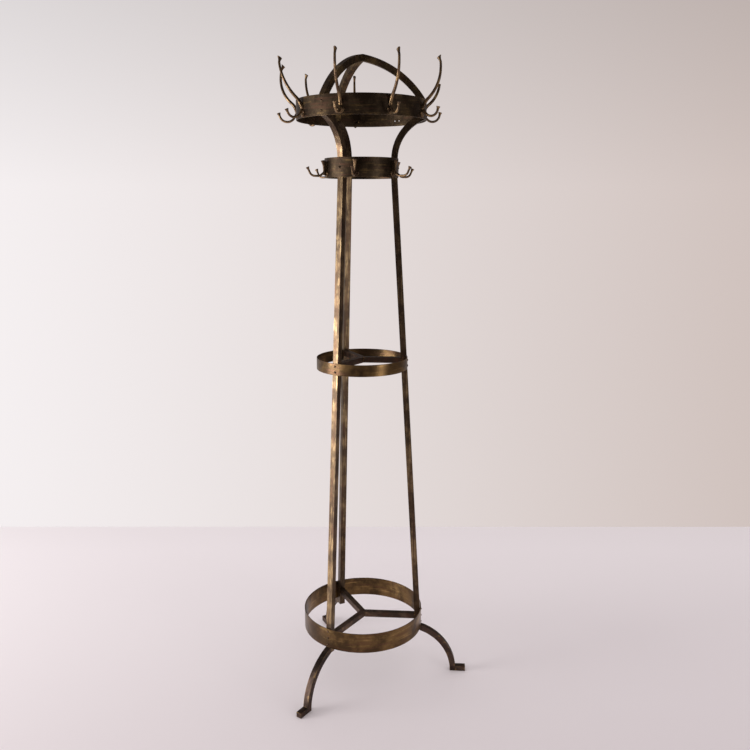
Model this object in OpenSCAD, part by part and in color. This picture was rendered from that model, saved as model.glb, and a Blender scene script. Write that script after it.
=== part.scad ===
// Free-standing coat rack.
// Three square-bar legs stand in three flat rings, flare out to a fourth ring
// and carry three arched bars that meet above it. Cast hooks stand round the
// two upper rings. Millimetres, +Z up, floor at Z = 0, front towards -Y.

/* [Overall] */
// Height from the floor to the top of the arches
height = 2000; // [1850:5:2150]

/* [Bars] */
// Square bar of the legs, feet and arches
bar = 19; // [15:0.5:22]
// Square bar of the braces inside the two lower rings
brace_bar = 18; // [12:0.5:20]
// Thickness of the four ring bands
band_t = 2.5; // [2:0.1:3.5]

/* [Base ring] */
// Outer radius of the base ring
base_ring_r = 198; // [185:1:215]
// Height of its lower edge above the floor
base_ring_z = 167.4; // [160:0.1:190]
// Height of its band
base_ring_h = 64.8; // [55:0.1:80]
// Distance between the screws of one leg in this ring
base_screw_pitch = 23.2; // [12:0.1:25]
// Height of the middle of the base braces above the ring's lower edge
base_brace_up = 31.9; // [25:0.1:45]

/* [Middle ring] */
// Depth to which the ring's band is let into the legs, at the middle of the band
middle_seat = 1.06; // [0.9:0.02:1.4]
// Height of its lower edge above the floor
middle_ring_z = 1055.7; // [950:0.1:1150]
// Height of its band
middle_ring_h = 36.1; // [30:0.1:45]
// Distance between the screws of one leg in this ring
middle_screw_pitch = 17.6; // [11:0.1:20]

/* [Lower hook ring] */
// Outer radius of the lower hook ring
lower_ring_r = 112; // [105:1:120]
// Distance from the rack's top down to its lower edge
lower_ring_drop = 355.6; // [351:0.1:364]
// Height of its band
lower_ring_h = 57.3; // [54:0.1:65]

/* [Upper hook ring] */
// Outer radius of the upper hook ring
upper_ring_r = 195; // [188:1:205]
// Distance from the rack's top down to its lower edge
upper_ring_drop = 189.4; // [187:0.1:191]
// Height of its band
upper_ring_h = 57; // [55:0.1:65]

/* [Legs and feet] */
// Height of the legs' lower ends
leg_end_z = 149; // [145:1:155]
// Height at which the legs begin to lean inwards
leg_bend_z = 190; // [180:1:210]
// Radius of the outer face of the legs' flare
flare_r = 120; // [118:0.5:122]
// Distance from the lower hook ring's top edge down to the start of the flare
flare_inset = 2.7; // [1:0.1:5]
// Distance of the feet's bend centre from the rack's axis
foot_bend_x = 143; // [135:1:150]
// Gap between the feet and the base ring's lower edge
foot_gap = 0.5; // [0.3:0.1:2]
// Distance from the rack's axis to the ends of the toes
toe_end_r = 351; // [335:1:365]
// Height of the toes
toe_h = 17.5; // [12:0.5:22]

/* [Arches] */
// Outer radius of the arched bars
arch_r = 288.5; // [280:0.5:295]
// Distance of an arch's centre beyond the rack's axis
arch_off = 52; // [48:0.5:56]

/* [Upper hooks] */
// Width of the upper hooks' plate
upper_plate_w = 18; // [14:0.5:22]
// Height of the plate's top above the ring's middle
upper_plate_up = 24; // [18:0.5:27]
// Depth of the plate's foot below the ring's middle
upper_plate_down = 26; // [20:0.5:27]
// Radius of the hat prong at its root
hat_root_rod = 5.4; // [4.9:0.1:6.4]
// Radius of the hat prong where its long rise begins
hat_rise_rod = 4.7; // [4:0.1:5.2]
// Radius of the hat prong where it stands upright
hat_top_rod = 3.75; // [3.65:0.05:4.4]
// Radius of the hat prong below its flared end
hat_tip_rod = 3.5; // [3:0.1:3.7]
// Half the length of the hat prong's oval head
hat_end_r = 8.4; // [7:0.1:9.4]
// Half the width of the hat prong's oval head
hat_end_w = 5.2; // [4.4:0.1:6]
// Bend radius where the hat prong leaves the plate
hat_root_bend = 45; // [40:1:55]
// Length of the hat prong's long rise
hat_rise_l = 87.3; // [80:0.1:95]
// Bend radius of the upright stretch
hat_top_bend = 150; // [140:5:220]
// Radius of the coat prong
coat_rod = 3.6; // [3:0.1:4]
// Bend radius of the coat prong, where it isn't widened
coat_bend = 22; // [20:0.5:24]
// Radius of the coat prong's flared end
coat_end_r = 6; // [4.5:0.1:7]

/* [Lower hooks] */
// Depth of the hooks' middle below the ring's middle
lower_hook_drop = 2.5; // [0:0.1:3]
// Width of the lower hooks' plate
lower_plate_w = 20; // [15:0.5:22]
// Height of the plate's top above the hook's middle
lower_plate_up = 24; // [20:0.5:28]
// Depth of the plate's foot below the hook's middle
lower_plate_down = 25; // [22:0.5:26]
// Radius of the stem in front of the plate
stem_rod = 4.3; // [4.1:0.1:5]
// Radius of the stem below its flared end
ear_rod = 3.8; // [3.4:0.1:4]
// Radius of the stem's flared upper end
ear_end_r = 7; // [6:0.1:7.6]
// Bend radius of the stem
ear_bend = 100; // [90:1:115]
// Radius of the lower hooks' prong
prong_rod = 3.25; // [2.8:0.05:3.5]
// Radius of the prong's flared end
prong_end_r = 5.6; // [4.5:0.1:6.5]

/* [Fixings] */
// Thickness of the hook plates
plate_t = 3; // [2:0.1:4]
// Radius of the lugs at the sides of the hook plates
lug_r = 4; // [3.6:0.1:5]
// Distance of a hook's screws from its middle plane
lug_x = 7.75; // [7.4:0.05:9]
// Depth of a hook's screws below the hook's middle
lug_down = 13; // [8:0.5:15]
// Head radius of the ring screws
ring_head_r = 4; // [3:0.1:4.5]
// Head height of the ring screws
ring_head_h = 2.2; // [1.2:0.1:3]
// Shank radius of the ring screws
ring_shank_r = 2.25; // [1.5:0.05:2.5]
// Shank length of the ring screws
ring_shank_l = 14; // [8:0.5:16]
// Head radius of the hook screws
hook_head_r = 2.9; // [2.5:0.1:3.2]
// Head height of the hook screws
hook_head_h = 1.7; // [1:0.1:2]
// Shank radius of the hook screws
hook_shank_r = 1.9; // [1.2:0.05:2]
// Length of a hook screw beyond the inside of the band
hook_shank_out = 1.5; // [0.5:0.1:3]
// Width of the slots in the screw heads
slot_w = 1; // [0.6:0.1:1.2]
// Depth of the slots in the screw heads
slot_d = 0.8; // [0.4:0.1:0.9]
// Clearance round a screw's shank
hole_gap = 0.15; // [0.1:0.05:0.3]

/* [Hidden] */
SIDES = ["front_left", "front_right", "back"];
// Directions are counted in degrees from the front (-Y) towards +X.
SIDE_AZ = [-60, 60, 180];
// The hooks' directions, set by hand, so they aren't quite evenly spaced.
UPPER_AZ = [-42, -0.5, 40, 80, 160, 199, 237, 275];
// The upper hooks have been knocked out of shape a little. A row for each hook: the hat
// prong's lean outwards, its lean sideways, the turn of its long rise, the coat prong's
// lean outwards and how far the radius of its bend is widened.
UPPER_BENDS = [
    [0, 3, 37, 0, 0],
    [0, -2, 42, 0, 0],
    [-1, 0, 46, -3, -2],
    [2, 1, 54, -2, 2],
    [3, 0, 47, 1, 0],
    [3, -4, 40, 1, 1],
    [0, -8, 51, 4, 3],
    [-5, -14, 36, 8, -1]
];
// One hook's hat prong is broken off after this many steps of its long rise.
BROKEN_HOOK = 3;
BROKEN_STEPS = 5;
// The hook that stands out farthest towards the front
FRONT_HOOK = 1;
LOWER_AZ = [-34, 30, 88, 148, 210, 268];
// The ninth place on the upper ring has its screw holes and no hook.
EMPTY_AZ = [119];

$fn = 96;

BRASS = "darkgoldenrod";
DARK_BRASS = "saddlebrown";
CAST = "goldenrod";
SCREW = "gold";

// Turn of the slots from leg to leg, and from one screw to the next
side_slot_turn = 50;
slot_turn = 70;

// Headings of the hook prongs, in degrees above the horizontal
hat_root_dir = 75;
hat_low_dir = 40;
hat_lean = 8;
hat_end_lean = 20;
hat_end_cut = 14;
coat_dir = -55;
coat_turn = 130;
prong_dir = -40;
prong_end_dir = 65;
ear_turn = 9;

// Places and lengths on the hook castings, from the band's face and the hook's middle
hat_root_x = 3;
hat_root_z = 2.5;
hat_rise_n = 6;
hat_end_bend = 8;
hat_end_l = 14;
coat_root_x = 2;
coat_root_z = -3;
coat_drop = 15.5;
coat_end_l = 9;
boss_r = 6.8;
stem_x = 8;
stem_z = -9.8;
web_w = 6.2;
web_up = 21;
web_down = 21;
ear_end_l = 17;
prong_drop = 11.6;
prong_low_bend = 18;
prong_flat = 10;
prong_high_bend = 17.5;
prong_rise = 7;
prong_end_l = 8.4;
lip = 1;
// Lap of the rod's steps, and the least that each step is thinner than the last
lap = 0.4;
thin = 0.08;

// The hook rings hang from the rack's top
lower_ring_z = height - lower_ring_drop;
upper_ring_z = height - upper_ring_drop;

// Inner radii of the bands that the legs stand in
base_in = base_ring_r - band_t;
lower_in = lower_ring_r - band_t;
upper_in = upper_ring_r - band_t;

// Radius of a leg's outer face at a height up to the lower hook ring
lean = (base_in - lower_in) / (lower_ring_z - leg_bend_z);
function leg_face(z) = base_in - lean * max(0, z - leg_bend_z);

// The middle ring's size follows the legs' lean
middle_in = leg_face(middle_ring_z + middle_ring_h / 2) - middle_seat;
middle_ring_r = middle_in + band_t;

// Flare of the legs, in the plane of a leg
flare_x = lower_in + flare_r;
flare_z = lower_ring_z + lower_ring_h - flare_inset;
function flare_at(x, r) = flare_z + sqrt(r * r - (flare_x - x) * (flare_x - x));

// Arch in the same plane
arch_z = height - sqrt(arch_r * arch_r - arch_off * arch_off);
arch_in = arch_r - bar;
arch_foot_x = upper_in - bar;
arch_joint_z = arch_z + sqrt(arch_in * arch_in - pow(arch_foot_x + arch_off, 2));

// Foot in the same plane: its upper face ends just below the base ring
foot_out = norm([base_ring_z - foot_gap, base_in - foot_bend_x]);
foot_in = foot_out - bar;

// Middles of the hook rings
lower_mid = lower_ring_z + lower_ring_h / 2;
upper_mid = upper_ring_z + upper_ring_h / 2;
lower_hook_mid = lower_mid - lower_hook_drop;

// Heights of the screws of one leg in each ring
base_screws = [for (k = [-1 : 1]) base_ring_z + base_ring_h / 2 + k * base_screw_pitch];
middle_screws = [for (k = [-0.5, 0.5]) middle_ring_z + middle_ring_h / 2 + k * middle_screw_pitch];
flare_end_z = flare_at(upper_in, flare_r + bar);
flare_screw = (flare_at(upper_in, flare_r) + flare_end_z) / 2;
arch_screw = (flare_end_z + upper_ring_z + upper_ring_h) / 2;

// Hat prong from root to tip, in steps of [bend radius, turn, rod radius]
function taper(bend, turn, n, from, to) =
    [for (k = [0 : n - 1]) [bend, turn / n, from + (to - from) * (k + 0.5) / n]];
function hat_rise_bend(turn) = hat_rise_l * 180 / (PI * turn);
hat_root = taper(hat_root_bend, hat_low_dir - hat_root_dir, 3, hat_root_rod, hat_rise_rod);
function hat_rise(turn) = taper(hat_rise_bend(turn), turn, hat_rise_n, hat_rise_rod, hat_top_rod);
hat_top = taper(hat_top_bend, hat_lean, 2, hat_top_rod, hat_tip_rod);
hat_end = [[hat_end_bend, hat_end_lean, hat_tip_rod]];
function coat_steps(widened) = [
    [coat_drop, 0, coat_rod + thin],
    [coat_bend + widened, coat_turn, coat_rod]
];
ear_steps = taper(ear_bend, -ear_turn, 3, stem_rod, ear_rod);
prong_steps = [
    [prong_drop, 0, prong_rod + 2 * thin],
    [prong_low_bend, -prong_dir, prong_rod + thin],
    [prong_flat, 0, prong_rod],
    [prong_high_bend, prong_end_dir, prong_rod - thin],
    [prong_rise, 0, prong_rod - 2 * thin]
];

// Middle of a lower hook's prong where it starts to bend
prong_x = stem_x + prong_drop * cos(prong_dir);
prong_z = stem_z + prong_drop * sin(prong_dir);
// Middle of its stem below the flared end
ear_x = stem_x + ear_bend * (1 - cos(ear_turn));
ear_z = stem_z + ear_bend * sin(ear_turn);

// The rack's axis lies behind the origin's Y, so that the origin is the middle of the box
front_turn = UPPER_BENDS[FRONT_HOOK][2];
front_dir = hat_low_dir + front_turn;
hat_reach = hat_root_x + hat_root_bend * (sin(hat_root_dir) - sin(hat_low_dir))
    + hat_rise_bend(front_turn) * (sin(front_dir) - sin(hat_low_dir))
    + hat_top_bend * (sin(front_dir + hat_lean) - sin(front_dir)) + hat_top[len(hat_top) - 1][2];
coat_end_dir = coat_dir + coat_turn;
coat_reach = coat_root_x + coat_drop * cos(coat_dir) + coat_bend * (sin(coat_end_dir) - sin(coat_dir))
    + (coat_end_l + lip) * cos(coat_end_dir) + coat_end_r * sin(coat_end_dir);
axis_y = (upper_ring_r + max(hat_reach, coat_reach) - toe_end_r) / 2;

// ---- Placing ----

// Turns +X to a direction counted from the front.
module towards(az) {
    rotate([0, 0, az - 90]) children();
}

// Stands a flat outline up in the plane of a leg, so that its Y becomes height.
module upright(width) {
    rotate([90, 0, 0]) linear_extrude(width, center = true) children();
}

// Third part of a turn about the axis, open towards +X, for the mitres.
module third() {
    side = 2 * arch_r;
    linear_extrude(height + bar) polygon([[0, 0], [side * cos(60), -side * sin(60)],
        [side, 0], [side * cos(60), side * sin(60)]]);
}

// Everything within a bar's depth outside a band's inner face.
module seat(inner_r, z, h) {
    translate([0, 0, z]) difference() {
        cylinder(r = inner_r + bar, h = h);
        cylinder(r = inner_r, h = h);
    }
}

// ---- Screws ----

// Slotted screw along +Z, its head above Z = 0.
module screw(head_r, head_h, shank_r, length, turn) {
    dome_r = (head_r * head_r + head_h * head_h) / (2 * head_h);
    difference() {
        union() {
            intersection() {
                translate([0, 0, head_h - dome_r]) sphere(r = dome_r);
                cylinder(r = 2 * head_r, h = 2 * head_h);
            }
            translate([0, 0, -length]) cylinder(r = shank_r, h = length);
        }
        rotate([0, 0, turn]) translate([-head_r, -slot_w / 2, head_h - slot_d])
            cube([2 * head_r, slot_w, head_h]);
    }
}

// Lays children that stand along +Z outwards at radius r and height z.
module outwards(r, z) {
    translate([r, 0, z]) rotate([0, 90, 0]) children();
}

module ring_hole(r, z) {
    outwards(r, z) translate([0, 0, -ring_shank_l - hole_gap])
        cylinder(r = ring_shank_r + hole_gap, h = ring_shank_l + bar);
}

module ring_screws(r, heights) {
    for (i = [0 : len(SIDES) - 1]) {
        for (k = [0 : len(heights) - 1]) {
            towards(SIDE_AZ[i]) outwards(r, heights[k])
                screw(ring_head_r, ring_head_h, ring_shank_r, ring_shank_l,
                    side_slot_turn * i + slot_turn * k);
        }
    }
}

// The two screw places of a hook, below and beside its middle.
module at_lugs(r, mid) {
    for (side = [-1, 1]) {
        translate([0, side * lug_x, -lug_down]) outwards(r, mid) children();
    }
}

module hook_holes(r, mid) {
    depth = 2 * (band_t + plate_t);
    at_lugs(r, mid) translate([0, 0, -depth / 2]) cylinder(r = hook_shank_r + hole_gap, h = depth);
}

module hook_screws(r, mid, places) {
    length = plate_t + band_t + hook_shank_out;
    for (k = [0 : len(places) - 1]) {
        towards(places[k]) at_lugs(r + plate_t, mid)
            screw(hook_head_r, hook_head_h, hook_shank_r, length, slot_turn * k);
    }
}

// ---- Bars ----

module leg_outline() {
    polygon([
        [base_in, leg_end_z],
        [base_in, leg_bend_z],
        [lower_in, lower_ring_z],
        [lower_in, flare_z],
        [lower_in - bar, flare_z],
        [lower_in - bar, lower_ring_z],
        [base_in - bar, leg_bend_z],
        [base_in - bar, leg_end_z]
    ]);
    intersection() {
        translate([flare_x, flare_z]) difference() {
            circle(r = flare_r + bar);
            circle(r = flare_r);
        }
        translate([lower_in - bar, flare_z]) square([upper_in + bar - lower_in + band_t, flare_r + bar]);
    }
}

module leg() {
    difference() {
        upright(bar) leg_outline();
        seat(base_in, base_ring_z, base_ring_h);
        seat(middle_in, middle_ring_z, middle_ring_h);
        seat(lower_in, lower_ring_z, lower_ring_h);
        seat(upper_in, flare_z + bar, flare_r);
        for (z = base_screws) ring_hole(base_ring_r, z);
        for (z = middle_screws) ring_hole(middle_ring_r, z);
        ring_hole(lower_ring_r, lower_mid);
        ring_hole(upper_ring_r, flare_screw);
    }
}

module foot() {
    upright(bar) {
        intersection() {
            translate([foot_bend_x, 0]) difference() {
                circle(r = foot_out);
                circle(r = foot_in);
            }
            translate([base_in, 0]) square([toe_end_r, foot_out]);
        }
        translate([foot_bend_x + foot_in, 0]) square([toe_end_r - foot_bend_x - foot_in, toe_h]);
    }
}

module arch() {
    difference() {
        intersection() {
            upright(bar) {
                intersection() {
                    translate([-arch_off, arch_z]) difference() {
                        circle(r = arch_r);
                        circle(r = arch_in);
                    }
                    translate([0, flare_z + flare_r]) square([upper_in, arch_r]);
                }
                translate([arch_foot_x, flare_z + flare_r])
                    square([bar, arch_joint_z - flare_z - flare_r]);
            }
            third();
        }
        seat(upper_in, upper_ring_z, upper_ring_h);
        translate([flare_x, 0, flare_z]) rotate([90, 0, 0])
            cylinder(r = flare_r + bar, h = 2 * bar, center = true);
        ring_hole(upper_ring_r, arch_screw);
    }
}

// Arm from the rack's axis to the inner face of a leg.
module brace(z_mid) {
    low = z_mid - brace_bar / 2;
    high = z_mid + brace_bar / 2;
    bend = min(max(leg_bend_z, low), high);
    intersection() {
        upright(brace_bar) polygon([
            [0, low],
            [leg_face(low) - bar, low],
            [leg_face(bend) - bar, bend],
            [leg_face(high) - bar, high],
            [0, high]
        ]);
        third();
    }
}

// ---- Rings ----

module band(r, z, h, screw_heights) {
    difference() {
        translate([0, 0, z]) difference() {
            cylinder(r = r, h = h);
            cylinder(r = r - band_t, h = h);
        }
        for (az = SIDE_AZ) {
            for (s = screw_heights) towards(az) ring_hole(r, s);
        }
        children();
    }
}

// ---- Hooks ----

// Round rod that starts at the origin towards +X and bends in the XY plane.
// A step is [length, 0, rod radius] or [bend radius, turn, rod radius]. Each step is
// thinner than the one before it and starts a short lap inside it.
module rod(steps, i = 0) {
    if (i == len(steps)) {
        rotate([0, 90, 0]) children();
    } else {
        reach = steps[i][0];
        turn = steps[i][1];
        side = sign(turn);
        if (side == 0) {
            translate([-lap, 0, 0]) rotate([0, 90, 0]) cylinder(r = steps[i][2], h = reach + lap);
            translate([reach, 0, 0]) rod(steps, i + 1) children();
        } else {
            early = lap / reach * 180 / PI;
            translate([0, side * reach, 0]) rotate([0, 0, side > 0 ? -90 - early : 90 + turn])
                rotate_extrude(angle = abs(turn) + early) translate([reach, 0]) circle(r = steps[i][2]);
            translate([reach * sin(abs(turn)), side * reach * (1 - cos(turn)), 0])
                rotate([0, 0, turn]) rod(steps, i + 1) children();
        }
    }
}

// Flared end along +Z of a rod, with a face of the given radius.
module horn(rod_r, face_r, length) {
    neck = rod_r - thin;
    curve = (pow(face_r - neck, 2) + length * length) / (2 * (face_r - neck));
    rotate_extrude() difference() {
        translate([0, -lap]) square([face_r, length + lip + lap]);
        intersection() {
            translate([neck + curve, 0]) circle(r = curve);
            translate([0, -lap]) square([2 * face_r, length + lap]);
        }
    }
}

// Cuts a flared end along +Z to an oval head, with its face slanted down towards +Y.
module head(half_l, half_w, end_l, slant) {
    side_r = 1.5 * half_l;
    difference() {
        intersection() {
            children();
            translate([side_r - half_w, 0, -lap]) cylinder(r = side_r, h = end_l + lip + lap);
            translate([half_w - side_r, 0, -lap]) cylinder(r = side_r, h = end_l + lip + lap);
        }
        translate([0, -half_l, end_l + lip]) rotate([-slant, 0, 0])
            translate([-half_l, 0, 0]) cube([2 * half_l, 3 * half_l, end_l]);
    }
}

// Puts children at a point of the hook's middle plane, turned to a heading.
module start(x, z, heading) {
    translate([x, 0, z]) rotate([90, 0, 0]) rotate([0, 0, heading]) children();
}

// Plate with round ends and a lug at each side, its face at X = plate_t.
module plate(width, up, down) {
    end_r = width / 2;
    translate([-plate_t, 0, 0]) rotate([90, 0, 90]) linear_extrude(2 * plate_t) {
        translate([-end_r, end_r - down]) square([width, up + down - width]);
        translate([0, up - end_r]) circle(r = end_r);
        translate([0, end_r - down]) circle(r = end_r);
        for (side = [-1, 1]) translate([side * lug_x, -lug_down]) circle(r = lug_r);
    }
}

module hat_prong(turn) {
    rod(concat(hat_root, hat_rise(turn), hat_top, hat_end))
        head(hat_end_r, hat_end_w, hat_end_l, hat_end_cut)
        horn(hat_tip_rod, hat_end_r, hat_end_l);
}

module broken_prong(turn) {
    rise = hat_rise(turn);
    rod(concat(hat_root, [for (k = [0 : BROKEN_STEPS - 1]) rise[k]]));
}

module upper_hook(i) {
    bends = UPPER_BENDS[i];
    difference() {
        translate([upper_ring_r, 0, upper_mid]) {
            plate(upper_plate_w, upper_plate_up, upper_plate_down);
            sphere(r = boss_r);
            rotate([-bends[1], 0, 0]) rotate([0, bends[0], 0])
                start(hat_root_x, hat_root_z, hat_root_dir) {
                    if (i == BROKEN_HOOK) broken_prong(bends[2]);
                    else hat_prong(bends[2]);
                }
            rotate([0, bends[3], 0]) start(coat_root_x, coat_root_z, coat_dir)
                rod(coat_steps(bends[4])) horn(coat_rod, coat_end_r, coat_end_l);
        }
        translate([0, 0, upper_ring_z - bar]) cylinder(r = upper_ring_r, h = upper_ring_h + 2 * bar);
        hook_holes(upper_ring_r, upper_mid);
    }
}

module lower_hook() {
    difference() {
        translate([lower_ring_r, 0, lower_hook_mid]) {
            plate(lower_plate_w, lower_plate_up, lower_plate_down);
            upright(web_w) polygon([
                [0, -web_down],
                [prong_x, prong_z],
                [stem_x, stem_z],
                [ear_x, ear_z],
                [ear_x + (web_up - ear_z) * tan(ear_turn), web_up],
                [0, web_up]
            ]);
            translate([stem_x, 0, stem_z]) sphere(r = stem_rod);
            start(stem_x, stem_z, 90) rod(ear_steps) horn(ear_rod, ear_end_r, ear_end_l);
            start(stem_x, stem_z, prong_dir)
                rod(prong_steps) horn(prong_rod - 2 * thin, prong_end_r, prong_end_l);
        }
        translate([0, 0, lower_ring_z - bar]) cylinder(r = lower_ring_r, h = lower_ring_h + 2 * bar);
        hook_holes(lower_ring_r, lower_hook_mid);
    }
}

// ---- The rack ----

// Stands a piece up on the rack's axis, turned to its direction.
module on_axis(az) {
    translate([0, axis_y, 0]) towards(az) children();
}

module leg_piece(i) {
    color(BRASS) on_axis(SIDE_AZ[i]) leg();
}

module foot_piece(i) {
    color(DARK_BRASS) on_axis(SIDE_AZ[i]) foot();
}

module arch_piece(i) {
    color(BRASS) on_axis(SIDE_AZ[i]) arch();
}

module base_brace_piece(i) {
    color(DARK_BRASS) on_axis(SIDE_AZ[i]) brace(base_ring_z + base_brace_up);
}

module middle_brace_piece(i) {
    color(DARK_BRASS) on_axis(SIDE_AZ[i]) brace(middle_ring_z + middle_ring_h - brace_bar / 2);
}

module base_ring() {
    color(BRASS) on_axis(90) band(base_ring_r, base_ring_z, base_ring_h, base_screws);
}

module middle_ring() {
    color(BRASS) on_axis(90) band(middle_ring_r, middle_ring_z, middle_ring_h, middle_screws);
}

module lower_hook_ring() {
    color(BRASS) on_axis(90) band(lower_ring_r, lower_ring_z, lower_ring_h, [lower_mid])
        for (az = LOWER_AZ) towards(az) hook_holes(lower_ring_r, lower_hook_mid);
}

module upper_hook_ring() {
    color(BRASS) on_axis(90) band(upper_ring_r, upper_ring_z, upper_ring_h, [flare_screw, arch_screw])
        for (az = concat(UPPER_AZ, EMPTY_AZ)) towards(az) hook_holes(upper_ring_r, upper_mid);
}

module upper_hook_piece(i) {
    color(CAST) on_axis(UPPER_AZ[i]) upper_hook(i);
}

module lower_hook_piece(i) {
    color(CAST) on_axis(LOWER_AZ[i]) lower_hook();
}

module base_ring_screws() {
    color(SCREW) on_axis(90) ring_screws(base_ring_r, base_screws);
}

module middle_ring_screws() {
    color(SCREW) on_axis(90) ring_screws(middle_ring_r, middle_screws);
}

module lower_ring_screws() {
    color(SCREW) on_axis(90) ring_screws(lower_ring_r, [lower_mid]);
}

module upper_ring_screws() {
    color(SCREW) on_axis(90) ring_screws(upper_ring_r, [flare_screw, arch_screw]);
}

module upper_hook_screws() {
    color(SCREW) on_axis(90) hook_screws(upper_ring_r, upper_mid, UPPER_AZ);
}

module lower_hook_screws() {
    color(SCREW) on_axis(90) hook_screws(lower_ring_r, lower_hook_mid, LOWER_AZ);
}

for (i = [0 : len(SIDES) - 1]) {
    leg_piece(i);
    foot_piece(i);
    arch_piece(i);
    base_brace_piece(i);
    middle_brace_piece(i);
}
base_ring();
middle_ring();
lower_hook_ring();
upper_hook_ring();
for (i = [0 : len(UPPER_AZ) - 1]) {
    upper_hook_piece(i);
}
for (i = [0 : len(LOWER_AZ) - 1]) {
    lower_hook_piece(i);
}
base_ring_screws();
middle_ring_screws();
lower_ring_screws();
upper_ring_screws();
upper_hook_screws();
lower_hook_screws();
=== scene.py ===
"""Free-standing coat rack in aged brass: finishes for its bars, bands and screws,
its cast hooks, and the plain studio that it stands in. Metres, +Z up."""

import logging
import math
from dataclasses import dataclass, field, replace
from enum import Enum

import bpy
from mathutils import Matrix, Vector


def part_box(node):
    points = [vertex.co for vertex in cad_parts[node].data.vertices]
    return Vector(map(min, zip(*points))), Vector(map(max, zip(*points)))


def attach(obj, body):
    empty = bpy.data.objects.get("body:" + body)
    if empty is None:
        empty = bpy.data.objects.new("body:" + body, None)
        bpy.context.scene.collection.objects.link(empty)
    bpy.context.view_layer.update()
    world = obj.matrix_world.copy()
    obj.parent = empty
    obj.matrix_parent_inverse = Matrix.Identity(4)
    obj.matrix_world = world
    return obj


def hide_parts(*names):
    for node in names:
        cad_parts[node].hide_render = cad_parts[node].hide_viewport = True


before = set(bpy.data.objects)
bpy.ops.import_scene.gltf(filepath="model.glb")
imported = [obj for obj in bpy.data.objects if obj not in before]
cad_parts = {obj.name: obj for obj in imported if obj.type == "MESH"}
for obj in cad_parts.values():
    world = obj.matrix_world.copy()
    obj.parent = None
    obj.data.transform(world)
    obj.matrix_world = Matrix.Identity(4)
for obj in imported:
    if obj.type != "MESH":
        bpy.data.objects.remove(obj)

LOG = logging.getLogger("coat_rack")
MM = 0.001
# The rack's axis lies this far from the origin along Y.
AXIS_Y = -46.027 * MM

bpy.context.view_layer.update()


def linear(colour: str) -> tuple[float, float, float, float]:
    """Turns an sRGB hex colour into linear values.

    Args:
        colour: six hex digits.

    Returns:
        Red, green, blue and an alpha of 1.
    """
    parts = [int(colour[i : i + 2], 16) / 255 for i in (0, 2, 4)]
    red, green, blue = [
        c / 12.92 if c <= 0.04045 else ((c + 0.055) / 1.055) ** 2.4 for c in parts
    ]
    return red, green, blue, 1.0


# ---- Nodes ----

Socket = bpy.types.NodeSocket
Tree = bpy.types.NodeTree

# Sockets of the Mix node by number, as its names repeat from type to type.
MIX_SHARE = 0
VALUE_A, VALUE_B, VALUE_OUT = 2, 3, 0
COLOUR_A, COLOUR_B, COLOUR_OUT = 6, 7, 2


def add_node(
    tree: Tree,
    kind: str,
    settings: dict | None = None,
    inputs: dict | None = None,
) -> bpy.types.Node:
    """Adds one node to a tree.

    Args:
        tree: the node tree.
        kind: the node's type.
        settings: values by attribute name.
        inputs: what goes into an input, by its name or number: a socket that feeds
            it or a value.

    Returns:
        The new node.
    """
    node = tree.nodes.new(kind)
    for key, value in (settings or {}).items():
        setattr(node, key, value)
    for key, value in (inputs or {}).items():
        if isinstance(value, Socket):
            tree.links.new(value, node.inputs[key])
        else:
            node.inputs[key].default_value = value
    return node


def noise(tree: Tree, place: Socket, scale: float, detail: float, roughness: float) -> Socket:
    """Adds noise.

    Args:
        tree: the node tree.
        place: where the noise is read.
        scale: its frequency.
        detail: its number of octaves.
        roughness: share of the finer octaves.

    Returns:
        The noise, about 0.5 on average.
    """
    inputs = {"Vector": place, "Scale": scale, "Detail": detail, "Roughness": roughness}
    return add_node(tree, "ShaderNodeTexNoise", {}, inputs).outputs["Fac"]


@dataclass(frozen=True)
class Span:
    """The range of a value and what it becomes at the range's start and stop."""

    start: float
    stop: float
    at_start: float = 0.0
    at_stop: float = 1.0

    def lowered(self, by: float) -> "Span":
        """Moves the range down.

        Args:
            by: how far.

        Returns:
            The moved range, with the same results.
        """
        return replace(self, start=self.start - by, stop=self.stop - by)


def ramp(tree: Tree, value: Socket, span: Span, smooth: bool = False) -> Socket:
    """Maps a value from one range to another and holds it at the ends.

    Args:
        tree: the node tree.
        value: the value.
        span: the range and its results.
        smooth: whether the result eases in and out.

    Returns:
        The result.
    """
    inputs = {
        "Value": value,
        "From Min": span.start,
        "From Max": span.stop,
        "To Min": span.at_start,
        "To Max": span.at_stop,
    }
    settings = {"interpolation_type": "SMOOTHSTEP" if smooth else "LINEAR"}
    return add_node(tree, "ShaderNodeMapRange", settings, inputs).outputs[0]


def calculate(tree: Tree, operation: str, *values: Socket | float) -> Socket:
    """Combines two or three values.

    Args:
        tree: the node tree.
        operation: what is done with them, by the Math node's name for it.
        values: the values, in the node's order.

    Returns:
        The result.
    """
    inputs = dict(enumerate(values))
    return add_node(tree, "ShaderNodeMath", {"operation": operation}, inputs).outputs[0]


def mix_value(tree: Tree, share: Socket, first: float, second: float) -> Socket:
    """Mixes two values.

    Args:
        tree: the node tree.
        share: share of the second.
        first: the first value.
        second: the second value.

    Returns:
        The mixed value.
    """
    inputs = {MIX_SHARE: share, VALUE_A: first, VALUE_B: second}
    return add_node(tree, "ShaderNodeMix", {"data_type": "FLOAT"}, inputs).outputs[VALUE_OUT]


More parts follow.
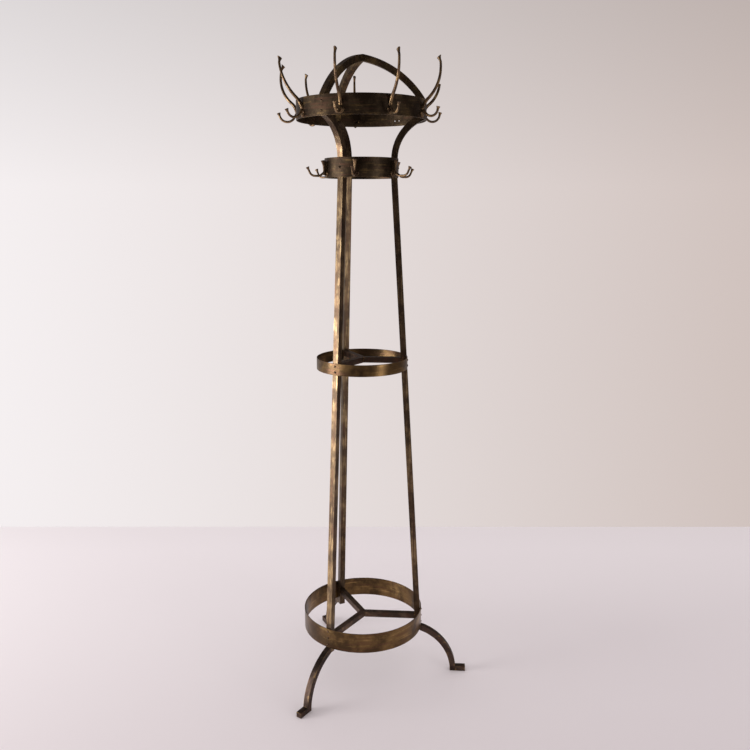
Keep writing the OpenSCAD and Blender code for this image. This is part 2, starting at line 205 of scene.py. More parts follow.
def mix_colour(
    tree: Tree,
    share: Socket | float,
    first: Socket | str,
    second: Socket | str,
    blend: str = "MIX",
) -> Socket:
    """Mixes two colours.

    Args:
        tree: the node tree.
        share: share of the second.
        first: the first colour, as a socket or six hex digits.
        second: the second colour, likewise.
        blend: how they are mixed.

    Returns:
        The mixed colour.
    """
    first, second = (linear(c) if isinstance(c, str) else c for c in (first, second))
    inputs = {MIX_SHARE: share, COLOUR_A: first, COLOUR_B: second}
    settings = {"data_type": "RGBA", "blend_type": blend}
    return add_node(tree, "ShaderNodeMix", settings, inputs).outputs[COLOUR_OUT]


def facing(tree: Tree, place: Socket, heading: float) -> Socket:
    """Measures how far a place or direction reaches towards a level heading.

    Args:
        tree: the node tree.
        place: the place or direction.
        heading: the heading, in degrees from +X towards +Y.

    Returns:
        The measure.
    """
    turn = math.radians(heading)
    inputs = {0: place, 1: (math.cos(turn), math.sin(turn), 0.0)}
    settings = {"operation": "DOT_PRODUCT"}
    return add_node(tree, "ShaderNodeVectorMath", settings, inputs).outputs["Value"]


def new_material(name: str) -> tuple[bpy.types.Material, Tree, Socket]:
    """Makes an empty material.

    Args:
        name: its name.

    Returns:
        The material, its node tree and its Object coordinates.
    """
    material = bpy.data.materials.new(name)
    material.use_nodes = True
    tree = material.node_tree
    tree.nodes.clear()
    return material, tree, add_node(tree, "ShaderNodeTexCoord").outputs["Object"]


def add_surface(tree: Tree, inputs: dict) -> None:
    """Ends a material's tree with its shader.

    Args:
        tree: the node tree.
        inputs: the shader's inputs.
    """
    shader = add_node(tree, "ShaderNodeBsdfPrincipled", {}, inputs).outputs["BSDF"]
    add_node(tree, "ShaderNodeOutputMaterial", {}, {"Surface": shader})


# ---- Finishes ----


class Grain(Enum):
    """Which way the streaks of a finish run, as streaks per mm along X, Y and Z."""

    UPRIGHT = (0.24, 0.24, 0.005)
    AROUND = (0.010, 0.010, 0.13)
    NONE = (0.05, 0.05, 0.05)


@dataclass(frozen=True)
class AgedBrass:
    """Brass under a dark film of oxide that handling and polishing have worn through.

    The film gives the eye dark brown with olive and reddish clouds. Where it is rubbed
    thin the metal shows as golden streaks, which are also smoother than the film.
    Sizes, the relief's depth among them, are in mm.
    """

    name: str
    film: str = "382B22"
    brown: str = "614E3D"
    metal: str = "AC8A5A"
    blush: str = "5E4032"
    grain: Grain = Grain.NONE
    cloud: float = 55.0
    rubbed: float = 0.5
    film_metal: float = 0.9
    film_rough: float = 0.42
    metal_rough: float = 0.30
    dents: float = 0.25
    # Where the clouds turn the film brown
    browned: Span = Span(0.40, 0.62)
    # Where clouds and streaks together show metal if nothing is rubbed
    worn: Span = Span(0.92, 1.24)
    worn_by_rubbing: float = 0.36
    cloud_share: float = 0.55
    # Where the streaks are reddish, and how much at the most
    reddened: Span = Span(0.46, 0.40, at_stop=0.45)
    # Polishing scratches are about 0.1 mm apart; they are drawn 2.5 mm apart to show.
    scratch_pitch: float = 2.5
    scratch_rough: float = 0.16
    scratch_relief: float = 0.35
    relief: float = 0.6

    def build(self) -> bpy.types.Material:
        """Makes the material.

        Returns:
            The material, with its nodes on Object coordinates.
        """
        material, tree, place = new_material(self.name)
        clouds = noise(tree, place, 1 / (self.cloud * MM), detail=5.0, roughness=0.6)
        stretch = [MM / s for s in self.grain.value]
        along = add_node(
            tree,
            "ShaderNodeMapping",
            {"vector_type": "TEXTURE"},
            {"Vector": place, "Scale": stretch},
        ).outputs["Vector"]
        streaks = noise(tree, along, 1.0, detail=6.0, roughness=0.62)
        scratch_scale = 1 / (self.scratch_pitch * MM)
        scratches = noise(tree, place, scratch_scale, detail=4.0, roughness=0.7)

        both = calculate(tree, "MULTIPLY_ADD", clouds, self.cloud_share, streaks)
        span = self.worn.lowered(self.worn_by_rubbing * self.rubbed)
        worn = ramp(tree, both, span, smooth=True)
        brown = ramp(tree, clouds, self.browned, smooth=True)
        red = ramp(tree, streaks, self.reddened, smooth=True)

        colour = mix_colour(tree, brown, self.film, self.brown)
        colour = mix_colour(tree, red, colour, self.blush)
        colour = mix_colour(tree, worn, colour, self.metal)
        rough = mix_value(tree, worn, self.film_rough, self.metal_rough)
        rough = calculate(tree, "MULTIPLY_ADD", scratches, self.scratch_rough, rough)
        relief = calculate(tree, "MULTIPLY_ADD", scratches, self.scratch_relief, both)
        bump = add_node(
            tree,
            "ShaderNodeBump",
            {},
            {"Strength": self.dents, "Distance": self.relief * MM, "Height": relief},
        ).outputs["Normal"]
        metallic = mix_value(tree, worn, self.film_metal, 1.0)
        add_surface(
            tree,
            {"Base Color": colour, "Metallic": metallic, "Roughness": rough, "Normal": bump},
        )
        return material


# Drawn square bar: streaks run along it, and the film has come off in long patches.
LEG_BRASS = AgedBrass(
    "aged_drawn_brass_bar",
    film="46382B",
    brown="65523D",
    metal="AA906B",
    grain=Grain.UPRIGHT,
    rubbed=0.44,
    film_rough=0.30,
    dents=0.10,
)
# Forged feet: handled least, so they keep most of their film.
FOOT_BRASS = AgedBrass("aged_forged_brass_foot", film="332822", brown="53433A", rubbed=0.2)
# Bent bar of the arches, dark above and browner where it is rubbed.
ARCH_BRASS = AgedBrass("aged_bent_brass_bar", film="443526", brown="6C583B", rubbed=0.34)
# Sawn bar between the rings, out of reach and darkest in its film; its greyish brown is lightened
# as painted light from the floor below.
BRACE_BRASS_AND_FLOOR_LIGHT = AgedBrass("sawn_brass_bar_with_painted_floor_light", film="47392F", brown="6B5749", rubbed=0.2)
# Rolled strip of the two lower rings: marks run round them, with broad olive clouds.
BAND_BRASS = AgedBrass(
    "aged_rolled_brass_strip",
    film="483723",
    brown="745A38",
    grain=Grain.AROUND,
    cloud=70.0,
    rubbed=0.30,
    film_rough=0.24,
    metal_rough=0.18,
    dents=0.10,
)
# The same strip behind the hooks, where it keeps more of its film.
HOOK_BAND_BRASS = AgedBrass(
    "dark_rolled_brass_strip",
    film="3A2D21",
    brown="554533",
    grain=Grain.AROUND,
    cloud=45.0,
    rubbed=0.24,
    film_rough=0.32,
    dents=0.12,
)
# Sand-cast hooks: brown in the hollows, golden on what coats rub.
HOOK_BRASS = AgedBrass(
    "aged_cast_brass",
    film="524030",
    brown="866D50",
    cloud=30.0,
    rubbed=0.36,
    film_rough=0.30,
    dents=0.08,
)
# Turned screws, rubbed on their domes.
SCREW_BRASS = AgedBrass("turned_brass_screw", rubbed=0.45, cloud=9.0)
# What shows along the bars' and bands' corners, where the film is rubbed off first.
WORN_EDGE = AgedBrass("rubbed_brass_edge", film="4E3F31", brown="7A6549", rubbed=0.6, cloud=25.0)


@dataclass
class FrameMetal:
    """The bars, bands and screws, whose shapes come from the frame itself.

    Widths of the rounded corners are in metres, the angle in degrees.
    """

    bar_edge: float = 0.9 * MM
    band_edge: float = 0.5 * MM
    screw_edge: float = 0.2 * MM
    weld_gap: float = 0.01 * MM
    corner_angle: float = 40.0
    edge_finish: bpy.types.Material = field(init=False)

    def dress(self, node: str, finish: bpy.types.Material, edge: float) -> None:
        """Rounds a node's corners and gives it its finish.

        Args:
            node: the node's name.
            finish: the material of its faces.
            edge: width of the rounded corners.
        """
        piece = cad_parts[node]
        piece.data.materials[0] = finish
        piece.data.materials.append(self.edge_finish)
        weld = piece.modifiers.new("weld", "WELD")
        weld.merge_threshold = self.weld_gap
        bevel = piece.modifiers.new("bevel", "BEVEL")
        bevel.width = edge
        bevel.segments = 2
        bevel.limit_method = "ANGLE"
        bevel.angle_limit = math.radians(self.corner_angle)
        bevel.material = len(piece.data.materials) - 1
        bevel.miter_outer = "MITER_ARC"
        normals = piece.modifiers.new("normals", "WEIGHTED_NORMAL")
        normals.keep_sharp = False
        LOG.info("%s dressed in %s", node, finish.name)

    def build(self) -> None:
        """Dresses every bar, band and set of screws."""
        self.edge_finish = WORN_EDGE.build()
        # The first word that a node's name holds decides.
        kinds = {
            "screws": (SCREW_BRASS.build(), self.screw_edge),
            "leg": (LEG_BRASS.build(), self.bar_edge),
            "foot": (FOOT_BRASS.build(), self.bar_edge),
            "arch": (ARCH_BRASS.build(), self.bar_edge),
            "brace": (BRACE_BRASS_AND_FLOOR_LIGHT.build(), self.bar_edge),
            "hook_ring": (HOOK_BAND_BRASS.build(), self.band_edge),
            "ring": (BAND_BRASS.build(), self.band_edge),
        }
        for node in sorted(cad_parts):
            kind = next((k for k in kinds if k in node), None)
            if kind:
                self.dress(node, *kinds[kind])


# ---- Castings ----


def deselect() -> None:
    """Leaves nothing selected, so that an operator meets only what it should."""
    bpy.ops.object.select_all(action="DESELECT")


def select_only(piece: bpy.types.Object) -> None:
    """Selects one object and makes it the active one.

    Args:
        piece: the object.
    """
    deselect()
    piece.select_set(True)
    bpy.context.view_layer.objects.active = piece


def apply_transform() -> None:
    """Puts the place, turn and scale of what is selected into its mesh."""
    bpy.ops.object.transform_apply(location=True, rotation=True, scale=True)


class Rod:
    """A round rod that is drawn out step by step in the XZ plane by extrusion."""

    SIDES = 20
    # Steps turn by about this many degrees at most and are about this many mm long.
    STEP_DEGREES = 7
    STEP_LENGTH = 3
    # Shares of a rim's thickness before its corner and at it, and the corner's width
    LIP_BODY = 0.7
    LIP_CORNER = 0.3
    CORNER = 0.3
    # Height in mm and share of the radius of the steps that close a crowned face
    CLOSING = ((0.25, 0.7), (0.12, 0.3))

    def __init__(self, x: float, z: float, heading: float, radius: float) -> None:
        """Starts the rod with a disc.

        Args:
            x: place of its start from the band's face, in mm.
            z: height of its start above the hook's middle, in mm.
            heading: its direction, in degrees above the horizontal.
            radius: its radius, in mm.
        """
        self.heading = math.radians(heading)
        self.at = Vector((x, 0.0, z)) * MM
        self.radius = radius
        self.across = radius
        deselect()
        bpy.ops.mesh.primitive_circle_add(
            vertices=self.SIDES,
            radius=radius * MM,
            fill_type="NGON",
            location=self.at,
            rotation=(0.0, math.pi / 2 - self.heading, 0.0),
        )
        bpy.ops.object.mode_set(mode="EDIT")
        bpy.ops.mesh.select_all(action="SELECT")

    def step(
        self, length: float, turn: float, radius: float, across: float | None = None
    ) -> None:
        """Extrudes the end once.

        Args:
            length: length of the step, in mm.
            turn: change of heading over the step, in radians, upwards positive.
            radius: radius at its end, in mm.
            across: radius at its end across the hook's plane, in mm, if it differs.
        """
        across = across or radius
        middle = self.heading + turn / 2
        move = Vector((math.cos(middle), 0.0, math.sin(middle))) * length * MM
        self.at += move
        self.heading += turn
        bpy.ops.mesh.extrude_region_move(TRANSFORM_OT_translate={"value": move})
        if turn:
            # Without a window the operator turns X towards Z for a positive value.
            bpy.ops.transform.rotate(value=turn, orient_axis="Y", center_override=self.at)
        if (radius, across) != (self.radius, self.across):
            share = radius / self.radius
            bpy.ops.transform.resize(
                value=(share, across / self.across, share), center_override=self.at
            )
            self.radius, self.across = radius, across

    def bend(self, bend_r: float, degrees: float, radius: float) -> None:
        """Bends the rod at an even radius while its thickness changes evenly.

        Args:
            bend_r: radius of the bend, in mm.
            degrees: turn, upwards positive.
            radius: radius of the rod at its end, in mm.
        """
        length = bend_r * math.radians(abs(degrees))
        by_turn = round(abs(degrees) / self.STEP_DEGREES)
        by_length = round(length / self.STEP_LENGTH)
        steps = max(2, by_turn, by_length)
        turn = math.radians(degrees) / steps
        chord = 2 * bend_r * abs(math.sin(turn / 2))
        first = self.radius
        for i in range(steps):
            self.step(chord, turn, first + (radius - first) * (i + 1) / steps)

    def run(self, length: float, radius: float) -> None:
        """Draws the rod straight on.

        Args:
            length: length, in mm.
            radius: radius at its end, in mm.
        """
        first = self.radius
        steps = max(1, round(length / self.STEP_LENGTH))
        for i in range(steps):
            self.step(length / steps, 0.0, first + (radius - first) * (i + 1) / steps)

    @staticmethod
    def flare(neck: float, face: float, length: float, share: float) -> float:
        """Works out the radius of a trumpet whose hollow is an arc.

        Args:
            neck: radius at its start, in mm.
            face: radius at its end, in mm.
            length: its length, in mm.
            share: share of the length at which the radius is wanted.

        Returns:
            The radius, in mm.
        """
        rise = face - neck
        arc_r = (rise * rise + length * length) / (2 * rise)
        return neck + arc_r - math.sqrt(arc_r**2 - (length * share) ** 2)

    def trumpet(
        self,
        length: float,
        face: float,
        lip: float,
        across: float | None = None,
        slant: float = 0.0,
    ) -> None:
        """Flares the end out in a hollow curve, then closes it or cuts it on a slant.

        Args:
            length: length of the flare, in mm.
            face: radius of its face, in mm.
            lip: thickness of its rim, in mm.
            across: radius of its face across the hook's plane, in mm, if it is oval.
            slant: how far the face is turned on towards the rack's axis, in degrees.
        """
        neck = self.radius
        across = across or face
        steps = max(8, round(length))
        for i in range(1, steps + 1):
            radii = [self.flare(neck, end, length, i / steps) for end in (face, across)]
            self.step(length / steps, 0.0, *radii)
        self.step(lip * self.LIP_BODY, 0.0, face, across)
        if slant:
            self.step(lip * self.LIP_CORNER, 0.0, face, across)
            self.cut_face(face, slant)
            return
        self.step(lip * self.LIP_CORNER, 0.0, face - self.CORNER, across - self.CORNER)
        for height, share in self.CLOSING:
            self.step(height, 0.0, face * share, across * share)

    def cut_face(self, face: float, slant: float) -> None:
        """Cuts the end on a slant that starts at its lower rim.

        Args:
            face: radius of the end, in mm.
            slant: how far the cut is turned on towards the rack's axis, in degrees.
        """
        turned = self.heading + math.radians(slant)
        below = Vector((math.sin(self.heading), 0.0, -math.cos(self.heading)))
        bpy.ops.mesh.select_all(action="SELECT")
        bpy.ops.mesh.bisect(
            plane_co=self.at + below * face * MM,
            plane_no=(math.cos(turned), 0.0, math.sin(turned)),
            use_fill=True,
            clear_outer=True,
        )

    def end(self, name: str, lean_out: float = 0.0, lean_side: float = 0.0) -> bpy.types.Object:
        """Closes the rod's modelling and leans it about the middle of its hook.

        Args:
            name: name of the finished part.
            lean_out: lean away from the band, in degrees.
            lean_side: lean along the band, in degrees.

        Returns:
            The part.
        """
        bpy.ops.object.mode_set(mode="OBJECT")
        part = bpy.context.object
        part.name = name
        apply_transform()
        for turn in ((0.0, math.radians(lean_out), 0.0), (-math.radians(lean_side), 0.0, 0.0)):
            part.rotation_euler = turn
            apply_transform()
        return part


@dataclass(frozen=True)
class Bends:
    """Where an upper hook stands and how it has been knocked out of shape.

    Angles are in degrees. The direction is counted from the front (-Y) towards +X.
    """

    direction: float
    lean_out: float
    lean_side: float
    rise_turn: float
    coat_lean: float
    coat_wider: float
    broken: bool = False


@dataclass
class CastHook:
    """What both kinds of cast hook share: plate, lugs, and the way they are finished.

    Lengths are in mm. X is measured from the band's face and Z from the hook's middle,
    which lies the drop below the ring's middle.
    """

    ring: str
    prefix: str
    width: float
    up: float
    down: float
    plate_t: float = 3.0
    lug_r: float = 4.0
    lug_x: float = 7.75
    lug_down: float = 13.0
    drop: float = 0.0
    # Thickness of the prongs' rims
    lip: float = 1.0
    # Grid of the casting, how it is softened, and the angle of edges that stay sharp
    grid: float = 0.62
    soften_by: float = 0.5
    soften_passes: int = 4
    sharp_angle: float = 50.0
    # Faces round the plate's ends, the lugs, the swellings and the band
    plate_sides: int = 48
    lug_sides: int = 32
    ball_sides: int = 32
    band_sides: int = 720
    # Height of the cutter that stands for the band, well above the plates' tops
    band_h: float = 200.0

    def ring_radius(self) -> float:
        """Measures the ring's outer radius, in metres."""
        low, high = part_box(self.ring)
        return (high.x - low.x) / 2

    def disc(self, sides: int, radius: float, y: float, z: float) -> bpy.types.Object:
        """Models a round slab that reaches as far behind the band's face as before it.

        Args:
            sides: number of faces round it.
            radius: its radius.
            y: place of its middle along the band.
            z: height of its middle.

        Returns:
            The part.
        """
        deselect()
        bpy.ops.mesh.primitive_cylinder_add(
            vertices=sides,
            radius=radius * MM,
            depth=2 * self.plate_t * MM,
            location=(0.0, y * MM, z * MM),
            rotation=(0.0, math.pi / 2, 0.0),
        )
        apply_transform()
        return bpy.context.object

    def slab(self) -> bpy.types.Object:
        """Models the plate with its round ends.

        Returns:
            The part.
        """
        top_middle = self.up - self.width / 2
        part = self.disc(self.plate_sides, self.width / 2, 0.0, top_middle)
        # The lower half, without the two edges at the middle, moves down.
        hair = 0.001
        for vertex in part.data.vertices:
            vertex.select = vertex.co.z < (top_middle - hair) * MM
        bpy.ops.object.mode_set(mode="EDIT")
        stretch = (self.width - self.down - self.up) * MM
        bpy.ops.transform.translate(value=(0.0, 0.0, stretch))
        bpy.ops.object.mode_set(mode="OBJECT")
        return part

    def ball(self, x: float, z: float, radius: float) -> bpy.types.Object:
        """Models a swelling.

        Args:
            x: place of its middle.
            z: height of its middle.
            radius: its radius.

        Returns:
            The part.
        """
        deselect()
        bpy.ops.mesh.primitive_uv_sphere_add(
            segments=self.ball_sides,
            ring_count=self.ball_sides // 2,
            radius=radius * MM,
            location=Vector((x, 0.0, z)) * MM,
        )
        apply_transform()
        return bpy.context.object

    def lugs(self) -> list[bpy.types.Object]:
        """Models the two lugs that take the screws.

        Returns:
            The lugs.
        """
        return [
            self.disc(self.lug_sides, self.lug_r, side * self.lug_x, -self.lug_down)
            for side in (-1, 1)
        ]

    def cast(self, name: str, parts: list[bpy.types.Object]) -> bpy.types.Object:
        """Runs the parts of one hook together as one casting, cut to the band's face.

        Args:
            name: name of the casting.
            parts: its parts.

        Returns:
            The casting, with X pointing out of the band and Z = 0 at the hook's middle.
        """
        deselect()
        for part in parts:
            part.select_set(True)
        bpy.context.view_layer.objects.active = parts[0]
        bpy.ops.object.join()
        casting = bpy.context.object
        casting.name = name
        remesh = casting.modifiers.new("remesh", "REMESH")
        remesh.mode = "VOXEL"
        remesh.voxel_size = self.grid * MM
        soften = casting.modifiers.new("soften", "SMOOTH")
        soften.factor = self.soften_by
        soften.iterations = self.soften_passes
        radius = self.ring_radius()
        deselect()
        bpy.ops.mesh.primitive_cylinder_add(
            vertices=self.band_sides,
            radius=radius,
            depth=self.band_h * MM,
            location=(-radius, 0.0, 0.0),
        )
        tool = bpy.context.object
        cut = casting.modifiers.new("cut", "BOOLEAN")
        cut.operation = "DIFFERENCE"
        cut.solver = "EXACT"
        cut.object = tool
        select_only(casting)
        for modifier in ("remesh", "soften", "cut"):
            bpy.ops.object.modifier_apply(modifier=modifier)
        bpy.data.objects.remove(tool)
        bpy.ops.object.shade_smooth_by_angle(angle=math.radians(self.sharp_angle))
        LOG.info("%s: %d faces", name, len(casting.data.polygons))
        return casting

    def fix(
        self,
        piece: bpy.types.Object,
        node: str,
        direction: float,
        finish: bpy.types.Material,
    ) -> None:
        """Stands a casting on its ring in place of its node.

        Args:
            piece: the casting.
            node: the hook's node.
            direction: its direction, in degrees from the front towards +X.
            finish: its material.
        """
        low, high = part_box(self.ring)
        radius = self.ring_radius()
        angle = math.radians(direction - 90)
        select_only(piece)
        piece.name = "cast_" + node
        piece.data.name = piece.name
        piece.rotation_euler = (0.0, 0.0, angle)
        piece.location = (
            radius * math.cos(angle),
            radius * math.sin(angle) + AXIS_Y,
            (high.z + low.z) / 2 - self.drop * MM,
        )
        apply_transform()
        piece.data.materials.clear()
        piece.data.materials.append(finish)
        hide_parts(node)
        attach(piece, "root")
        LOG.info("%s at %.1f degrees", piece.name, direction)


@dataclass
class UpperHook(CastHook):
    """Hat-and-coat hook: a tall hat prong above and a short coat prong below.

    Directions of the bends are in degrees and lengths in mm, as for every hook.
    """

    boss_r: float = 6.8
    rise_l: float = 87.3
    # Share of the long rise that is left of a broken prong
    broken_share: float = 5 / 6
    head_l: float = 14.0
    head_r: float = 8.4
    head_across: float = 5.2
    head_slant: float = 14.0
    coat_bend: float = 22.0
    coat_end_l: float = 9.0
    coat_end_r: float = 6.0
    bends: tuple[Bends, ...] = (
        Bends(-42.0, 0.0, 3.0, 37.0, 0.0, 0.0),
        Bends(-0.5, 0.0, -2.0, 42.0, 0.0, 0.0),
        Bends(40.0, -1.0, 0.0, 46.0, -3.0, -2.0),
        Bends(80.0, 2.0, 1.0, 54.0, -2.0, 2.0, broken=True),
        Bends(160.0, 3.0, 0.0, 47.0, 1.0, 0.0),
        Bends(199.0, 3.0, -4.0, 40.0, 1.0, 1.0),
        Bends(237.0, 0.0, -8.0, 51.0, 4.0, 3.0),
        Bends(275.0, -5.0, -14.0, 36.0, 8.0, -1.0),
    )

    def hat_prong(self, bends: Bends) -> bpy.types.Object:
        """Models the hat prong with its oval head, or what is left of a broken one.

        Args:
            bends: how this hook is bent.

        Returns:
            The prong.
        """
        rise_bend = self.rise_l / math.radians(bends.rise_turn)
        hat = Rod(x=3.0, z=2.5, heading=75.0, radius=5.4)
        hat.bend(bend_r=45.0, degrees=-35.0, radius=4.7)
        if bends.broken:
            hat.bend(rise_bend, bends.rise_turn * self.broken_share, radius=3.9)
            hat.step(0.6, 0.0, radius=3.0)
        else:
            hat.bend(rise_bend, bends.rise_turn, radius=3.75)
            hat.bend(bend_r=150.0, degrees=8.0, radius=3.5)
            hat.bend(bend_r=8.0, degrees=20.0, radius=3.5)
            hat.trumpet(self.head_l, self.head_r, self.lip, self.head_across, self.head_slant)
        return hat.end("hat_prong", bends.lean_out, bends.lean_side)

    def coat_prong(self, bends: Bends) -> bpy.types.Object:
        """Models the coat prong.

        Args:
            bends: how this hook is bent.

        Returns:
            The prong.
        """
        coat = Rod(x=2.0, z=-3.0, heading=-55.0, radius=3.7)
        coat.run(length=15.5, radius=3.65)
        coat.bend(self.coat_bend + bends.coat_wider, degrees=130.0, radius=3.55)
        coat.trumpet(self.coat_end_l, self.coat_end_r, self.lip)
        return coat.end("coat_prong", bends.coat_lean)

    def build(self, finish: bpy.types.Material) -> None:
        """Casts every upper hook, each with its own bends.

        Args:
            finish: the hooks' material.
        """
        for number, bends in enumerate(self.bends, 1):
            plate = self.slab()
            boss = self.ball(0.0, 0.0, self.boss_r)
            parts = [plate, boss, self.hat_prong(bends), self.coat_prong(bends), *self.lugs()]
            node = f"{self.prefix}{number}"
            self.fix(self.cast(node + "_casting", parts), node, bends.direction, finish)


@dataclass
class LowerHook(CastHook):
    """Coat hook with an upright stem that ends in a trumpet, one prong and a fin behind."""

    stem_x: float = 8.0
    stem_z: float = -9.8
    stem_r: float = 4.3
    ear_l: float = 17.0
    ear_end_r: float = 7.0
    prong_end_l: float = 8.4
    prong_end_r: float = 5.6
    fin_w: float = 6.2
    fin_back: float = -2.0
    # Height of each section of the fin and how far it stands out
    fin: tuple[tuple[float, float], ...] = (
        (-21.0, 1.0),
        (-17.3, 16.9),
        (-9.8, 8.0),
        (5.8, 9.2),
        (21.0, 11.6),
    )
    directions: tuple[float, ...] = (-34.0, 30.0, 88.0, 148.0, 210.0, 268.0)

    def web(self) -> bpy.types.Object:
        """Models the fin that joins stem and prong to the plate.

        Returns:
            The fin.
        """
        low, out = self.fin[0]
        deselect()
        bpy.ops.mesh.primitive_plane_add(size=MM)
        bpy.ops.object.mode_set(mode="EDIT")
        bpy.ops.mesh.select_all(action="SELECT")
        bpy.ops.transform.resize(
            value=(out - self.fin_back, self.fin_w, 1.0), center_override=(0.0, 0.0, 0.0)
        )
        bpy.ops.transform.translate(value=Vector(((out + self.fin_back) / 2, 0.0, low)) * MM)
        for high, reach in self.fin[1:]:
            bpy.ops.mesh.extrude_region_move(
                TRANSFORM_OT_translate={"value": (0.0, 0.0, (high - low) * MM)}
            )
            share = (reach - self.fin_back) / (out - self.fin_back)
            bpy.ops.transform.resize(
                value=(share, 1.0, 1.0), center_override=(self.fin_back * MM, 0.0, high * MM)
            )
            low, out = high, reach
        bpy.ops.mesh.select_all(action="SELECT")
        bpy.ops.mesh.normals_make_consistent(inside=False)
        bpy.ops.object.mode_set(mode="OBJECT")
        return bpy.context.object

    def stem(self) -> bpy.types.Object:
        """Models the upright stem with its trumpet.

        Returns:
            The stem.
        """
        ear = Rod(self.stem_x, self.stem_z, heading=90.0, radius=self.stem_r)
        ear.bend(bend_r=100.0, degrees=-9.0, radius=3.8)
        ear.trumpet(self.ear_l, self.ear_end_r, self.lip)
        return ear.end("stem")

    def prong(self) -> bpy.types.Object:
        """Models the prong.

        Returns:
            The prong.
        """
        hook = Rod(self.stem_x, self.stem_z, heading=-40.0, radius=3.45)
        hook.run(length=11.6, radius=3.4)
        hook.bend(bend_r=18.0, degrees=40.0, radius=3.3)
        hook.run(length=10.0, radius=3.25)
        hook.bend(bend_r=17.5, degrees=65.0, radius=3.15)
        hook.run(length=7.0, radius=3.1)
        hook.trumpet(self.prong_end_l, self.prong_end_r, self.lip)
        return hook.end("prong")

    def parts(self) -> list[bpy.types.Object]:
        """Models plate, fin, knee, stem, prong and lugs.

        Returns:
            The parts.
        """
        plate = self.slab()
        knee = self.ball(self.stem_x, self.stem_z, self.stem_r)
        stem = self.stem()
        prong = self.prong()
        return [plate, self.web(), knee, stem, prong, *self.lugs()]

    def build(self, finish: bpy.types.Material) -> None:
        """Casts one lower hook and sets a copy of it in each place.

        Args:
            finish: the hooks' material.
        """
        pattern = self.cast(self.prefix + "pattern", self.parts())
        for number, direction in enumerate(self.directions, 1):
            select_only(pattern)
            bpy.ops.object.duplicate(linked=False)
            self.fix(bpy.context.object, f"{self.prefix}{number}", direction, finish)
        bpy.data.objects.remove(pattern)


# ---- Studio ----


@dataclass(frozen=True)
class SoftBox:
    """A lamp: its place from the rack's axis and its size, in metres, and its watts."""

    name: str
    ahead: float
    aside: float
    height: float
    width: float
    tall: float
    power: float


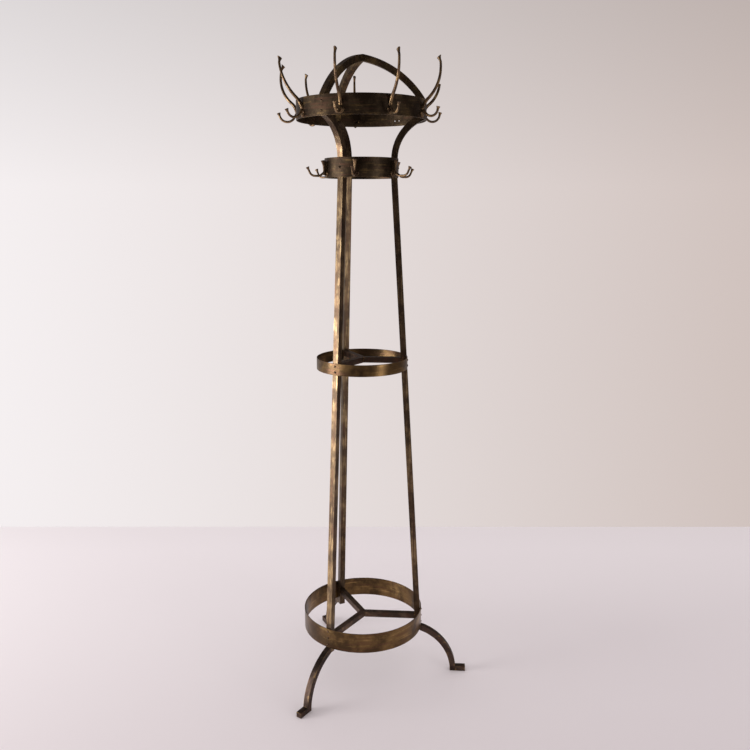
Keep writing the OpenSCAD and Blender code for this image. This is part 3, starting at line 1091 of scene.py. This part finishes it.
@dataclass
class Studio:
    """Floor, light and camera. Lengths are in metres and angles in degrees."""

    floor_near: float = 3.2
    floor_far: float = 1.22
    # The floor's white is painted a little darker near the camera than beyond the rack: painted
    # shade near the camera, painted light beyond it.
    floor_shade_near: str = "DDD5D6"
    floor_light_far: str = "FBF5F6"
    floor_light_span: Span = Span(-0.9, 0.9)
    paint_rough: float = 0.28
    paint_sheen: float = 0.5
    # The wall is painted lighter on the left, as painted light from the soft box there, and a
    # little darker towards the ceiling, as painted shade.
    wall_shaded_right: str = "CFC1BC"
    wall_lit_left: str = "F6F1F2"
    wall_light_sides: Span = Span(-0.45, 0.45)
    wall_shade_heights: Span = Span(0.02, 0.22, at_start=1.0, at_stop=0.80)
    # What the metal mirrors is dim above eye level and dark behind the camera.
    mirrored_behind: Span = Span(-0.25, 0.65, at_start=1.0, at_stop=0.07)
    mirrored_heights: Span = Span(-0.04, 0.16, at_start=0.56, at_stop=0.26)
    ambient: str = "E6E0E2"
    ambient_power: float = 0.97
    view_turn: float = 64.058
    # The room's dark part lies behind the camera and this far to its right.
    dark_turn: float = 35.0
    aim_height: float = 1.0
    # The soft boxes hang beyond the floor's edges, so that no bright patch lies on it.
    lamps: tuple[SoftBox, ...] = (
        SoftBox("soft_box_left", -0.9, -4.0, 0.8, 1.7, 1.1, 125.0),
        SoftBox("strip_left", -2.05, -3.55, 0.24, 0.5, 0.4, 14.0),
        SoftBox("strip_right", -2.95, 3.4, 0.85, 0.6, 1.5, 26.0),
    )
    eye: tuple[float, float, float] = (-1.06014, -2.31888, 1.56754)
    eye_tilt: float = 77.934
    eye_turn: float = -25.942
    # Focal length and sensor width of the camera, in mm
    lens: float = 38.4115
    sensor: float = 36.0
    nearest: float = 0.05

    def along(self, ahead: float, aside: float, height: float) -> Vector:
        """Finds a place from the rack's axis.

        Args:
            ahead: distance away from the camera, in metres.
            aside: distance to the camera's right, in metres.
            height: height above the floor, in metres.

        Returns:
            The place.
        """
        turn = math.radians(self.view_turn)
        x = ahead * math.cos(turn) + aside * math.sin(turn)
        y = ahead * math.sin(turn) - aside * math.cos(turn)
        return Vector((x, y + AXIS_Y, height))

    def paint(self) -> bpy.types.Material:
        """Makes smooth white paint whose faint sheen mirrors the feet softly; its colour carries
        painted shade that darkens it towards the camera.

        Returns:
            The material.
        """
        paint, tree, place = new_material("white_floor_paint_with_painted_shade")
        # Painted shade: the floor's colour darkens from far to near the camera, standing in for
        # the lamps' falloff.
        ahead = facing(tree, place, self.view_turn)
        far = ramp(tree, ahead, self.floor_light_span)
        white = mix_colour(tree, far, self.floor_shade_near, self.floor_light_far)
        inputs = {"Roughness": self.paint_rough, "Specular IOR Level": self.paint_sheen}
        add_surface(tree, {"Base Color": white, **inputs})
        return paint

    def floor(self) -> None:
        """Lays the pale painted floor."""
        deselect()
        depth = self.floor_near + self.floor_far
        bpy.ops.mesh.primitive_plane_add(size=1.0)
        floor = bpy.context.object
        floor.name = "studio_floor"
        bpy.ops.transform.resize(
            value=(depth, 2 * self.floor_near, 1.0), center_override=(0.0, 0.0, 0.0)
        )
        floor.rotation_euler.z = math.radians(self.view_turn)
        floor.location = self.along(self.floor_far - depth / 2, 0.0, 0.0)
        apply_transform()
        floor.data.materials.append(self.paint())

    def world(self) -> None:
        """Sets the pale room that the camera and the metal see, and its soft light; its wall
        carries painted light on the left and painted shade towards the ceiling.
        """
        world = bpy.data.worlds.new("pale_room")
        bpy.context.scene.world = world
        world.use_nodes = True
        tree = world.node_tree
        tree.nodes.clear()
        path = add_node(tree, "ShaderNodeLightPath").outputs
        seen = calculate(tree, "MAXIMUM", path["Is Camera Ray"], path["Is Transmission Ray"])
        direction = add_node(tree, "ShaderNodeTexCoord").outputs["Generated"]
        height = add_node(tree, "ShaderNodeSeparateXYZ", {}, {0: direction}).outputs["Z"]

        # Painted light and shade on the wall: lighter towards the lamp on the left, darker
        # towards the ceiling.
        left = ramp(tree, facing(tree, direction, self.view_turn + 90), self.wall_light_sides)
        wall = mix_colour(tree, left, self.wall_shaded_right, self.wall_lit_left)
        shade = ramp(tree, height, self.wall_shade_heights)
        wall = mix_colour(tree, 1.0, wall, shade, "MULTIPLY")
        dark = facing(tree, direction, self.view_turn + 180 + self.dark_turn)
        behind = ramp(tree, dark, self.mirrored_behind)
        above = ramp(tree, height, self.mirrored_heights)
        dim = calculate(tree, "MULTIPLY", behind, above)
        room = mix_colour(tree, 1.0, wall, dim, "MULTIPLY")

        lights = [
            add_node(tree, "ShaderNodeBackground", {}, {"Color": colour, "Strength": power})
            for colour, power in (
                (linear(self.ambient), self.ambient_power),
                (room, 1.0),
                (wall, 1.0),
            )
        ]
        ambient, mirrored, shown = (light.outputs[0] for light in lights)
        inputs = {0: path["Is Glossy Ray"], 1: ambient, 2: mirrored}
        unseen = add_node(tree, "ShaderNodeMixShader", {}, inputs).outputs[0]
        inputs = {0: seen, 1: unseen, 2: shown}
        whole = add_node(tree, "ShaderNodeMixShader", {}, inputs).outputs[0]
        add_node(tree, "ShaderNodeOutputWorld", {}, {"Surface": whole})

    def hang(self, lamp: SoftBox) -> None:
        """Hangs a soft box so that it faces the middle of the rack.

        Args:
            lamp: the soft box.
        """
        deselect()
        place = self.along(lamp.ahead, lamp.aside, lamp.height)
        aim = self.along(0.0, 0.0, self.aim_height)
        turn = (aim - place).to_track_quat("-Z", "Y").to_euler()
        bpy.ops.object.light_add(type="AREA", location=place, rotation=turn)
        light = bpy.context.object
        light.name = lamp.name
        light.data.shape = "RECTANGLE"
        light.data.size = lamp.width
        light.data.size_y = lamp.tall
        light.data.energy = lamp.power

    def camera(self) -> None:
        """Sets the camera at standing eye level."""
        deselect()
        bpy.ops.object.camera_add(
            location=self.eye,
            rotation=(math.radians(self.eye_tilt), 0.0, math.radians(self.eye_turn)),
        )
        camera = bpy.context.object
        camera.name = "studio_camera"
        camera.data.lens = self.lens
        camera.data.sensor_width = self.sensor
        camera.data.clip_start = self.nearest
        bpy.context.scene.camera = camera

    def build(self) -> None:
        """Sets up the whole studio."""
        self.camera()
        self.floor()
        self.world()
        for lamp in self.lamps:
            self.hang(lamp)
        bpy.context.scene.view_settings.view_transform = "Standard"
        LOG.info("studio set")


def main() -> None:
    """Builds the studio, dresses the frame and models the hooks."""
    logging.basicConfig(level=logging.INFO, format="%(message)s")
    Studio().build()
    FrameMetal().build()
    hook_finish = HOOK_BRASS.build()
    UpperHook("upper_hook_ring", "upper_hook_", width=18.0, up=24.0, down=26.0).build(hook_finish)
    LowerHook(
        "lower_hook_ring", "lower_hook_", width=20.0, up=24.0, down=25.0, drop=2.5
    ).build(hook_finish)


if __name__ == "__main__":
    main()
